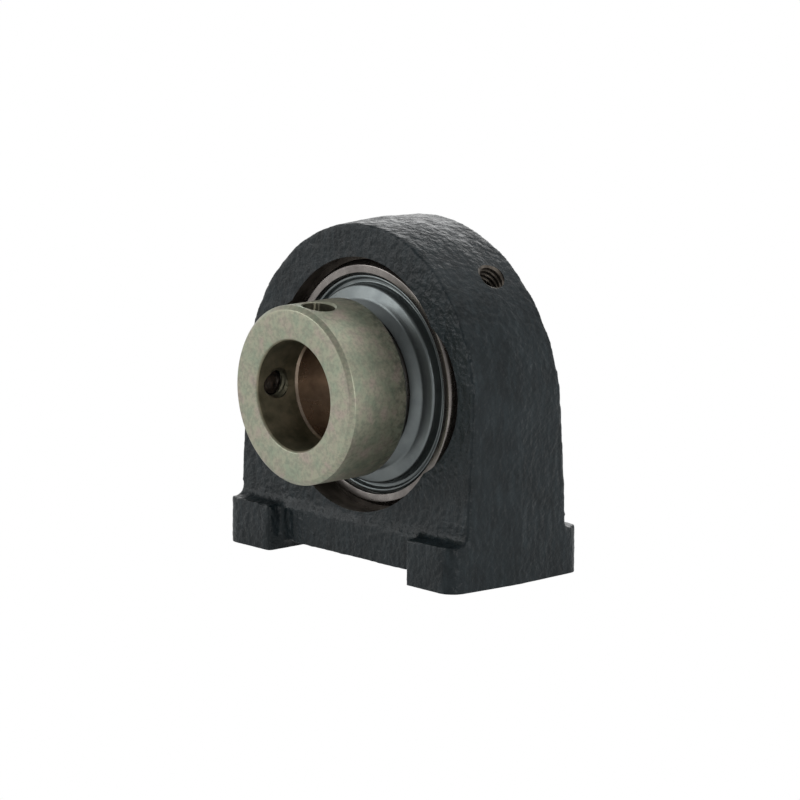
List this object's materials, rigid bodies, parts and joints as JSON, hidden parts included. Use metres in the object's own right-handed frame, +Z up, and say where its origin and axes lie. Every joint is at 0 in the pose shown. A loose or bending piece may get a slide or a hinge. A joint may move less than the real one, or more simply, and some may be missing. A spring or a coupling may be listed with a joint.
{
  "type": "pillow block bearing",
  "caption": "Short-base pillow block bearing: a cast arch on two threaded feet holds a self-aligning ball bearing insert with an eccentric locking collar.",
  "frame": {"origin": "centre of the bearing, on the shaft axis, in the middle of the housing's thickness and of the inner ring's length", "axes": "+Z up from the feet, X across the base through both mounting threads, Y along the shaft with the locking collar at -Y"},
  "size_m": [0.065, 0.0432, 0.0634],
  "materials": {
    "cast_housing": "dark blue-grey paint over a rough casting; seat, holes and feet machined bare",
    "bearing_steel": "ground, bare",
    "ball_steel": "polished",
    "cage_plastic": "moulded, natural",
    "seal_steel": "zinc plated, blue-grey",
    "seal_rubber": "moulded",
    "collar_steel": "turned, zinc plated and passivated greenish grey",
    "screw_steel": "blackened"
  },
  "bodies": {
    "housing": {"housing": "cast_housing"},
    "insert": {"outer_ring": "bearing_steel", "front_seal_backing_washer": "seal_steel", "front_seal_lip": "seal_rubber", "front_seal_cover": "seal_steel", "rear_seal_backing_washer": "seal_steel", "rear_seal_lip": "seal_rubber", "rear_seal_cover": "seal_steel"},
    "inner_ring": {"inner_ring": "bearing_steel"},
    "ball_cage": {"ball_cage": "cage_plastic"},
    "ball_1": {"ball_1": "ball_steel"},
    "ball_2": {"ball_2": "ball_steel"},
    "ball_3": {"ball_3": "ball_steel"},
    "ball_4": {"ball_4": "ball_steel"},
    "ball_5": {"ball_5": "ball_steel"},
    "ball_6": {"ball_6": "ball_steel"},
    "ball_7": {"ball_7": "ball_steel"},
    "ball_8": {"ball_8": "ball_steel"},
    "locking_collar": {"locking_collar": "collar_steel"},
    "grub_screw": {"grub_screw": "screw_steel"}
  },
  "joints": [
    {"name": "insert_swivel", "type": "hinge", "parent": "housing", "child": "insert", "pos_m": [0, 0, 0], "axis": [1, 0, 0], "range_deg": [-2.5, 2.5]},
    {"name": "ring_spin", "type": "hinge", "parent": "insert", "child": "inner_ring", "pos_m": [0, 0, 0], "axis": [0, 1, 0], "continuous": true},
    {"name": "cage_spin", "type": "hinge", "parent": "insert", "child": "ball_cage", "pos_m": [0, 0, 0], "axis": [0, 1, 0], "continuous": true},
    {"name": "ball_1_spin", "type": "hinge", "parent": "ball_cage", "child": "ball_1", "pos_m": [0, 0, 0.01675], "axis": [0, 1, 0], "continuous": true},
    {"name": "ball_2_spin", "type": "hinge", "parent": "ball_cage", "child": "ball_2", "pos_m": [-0.01184, 0, 0.01184], "axis": [0, 1, 0], "continuous": true},
    {"name": "ball_3_spin", "type": "hinge", "parent": "ball_cage", "child": "ball_3", "pos_m": [-0.01675, 0, 0], "axis": [0, 1, 0], "continuous": true},
    {"name": "ball_4_spin", "type": "hinge", "parent": "ball_cage", "child": "ball_4", "pos_m": [-0.01184, 0, -0.01184], "axis": [0, 1, 0], "continuous": true},
    {"name": "ball_5_spin", "type": "hinge", "parent": "ball_cage", "child": "ball_5", "pos_m": [0, 0, -0.01675], "axis": [0, 1, 0], "continuous": true},
    {"name": "ball_6_spin", "type": "hinge", "parent": "ball_cage", "child": "ball_6", "pos_m": [0.01184, 0, -0.01184], "axis": [0, 1, 0], "continuous": true},
    {"name": "ball_7_spin", "type": "hinge", "parent": "ball_cage", "child": "ball_7", "pos_m": [0.01675, 0, 0], "axis": [0, 1, 0], "continuous": true},
    {"name": "ball_8_spin", "type": "hinge", "parent": "ball_cage", "child": "ball_8", "pos_m": [0.01184, 0, 0.01184], "axis": [0, 1, 0], "continuous": true},
    {"name": "collar_lock", "type": "hinge", "parent": "inner_ring", "child": "locking_collar", "pos_m": [0, -0.0194, 0], "axis": [0, 1, 0], "range_deg": [-16, 16]},
    {"name": "grub_screw_travel", "type": "slide", "parent": "locking_collar", "child": "grub_screw", "axis": [0.9994, 0, -0.0349], "range_m": [-0.003, 0.0013]}
  ],
  "couplings": [
    {"joint": "cage_spin", "follows": "ring_spin", "ratio": 0.38152},
    {"joint": "ball_1_spin", "follows": "ring_spin", "ratio": -1.9916},
    {"joint": "ball_2_spin", "follows": "ring_spin", "ratio": -1.9916},
    {"joint": "ball_3_spin", "follows": "ring_spin", "ratio": -1.9916},
    {"joint": "ball_4_spin", "follows": "ring_spin", "ratio": -1.9916},
    {"joint": "ball_5_spin", "follows": "ring_spin", "ratio": -1.9916},
    {"joint": "ball_6_spin", "follows": "ring_spin", "ratio": -1.9916},
    {"joint": "ball_7_spin", "follows": "ring_spin", "ratio": -1.9916},
    {"joint": "ball_8_spin", "follows": "ring_spin", "ratio": -1.9916}
  ]
}
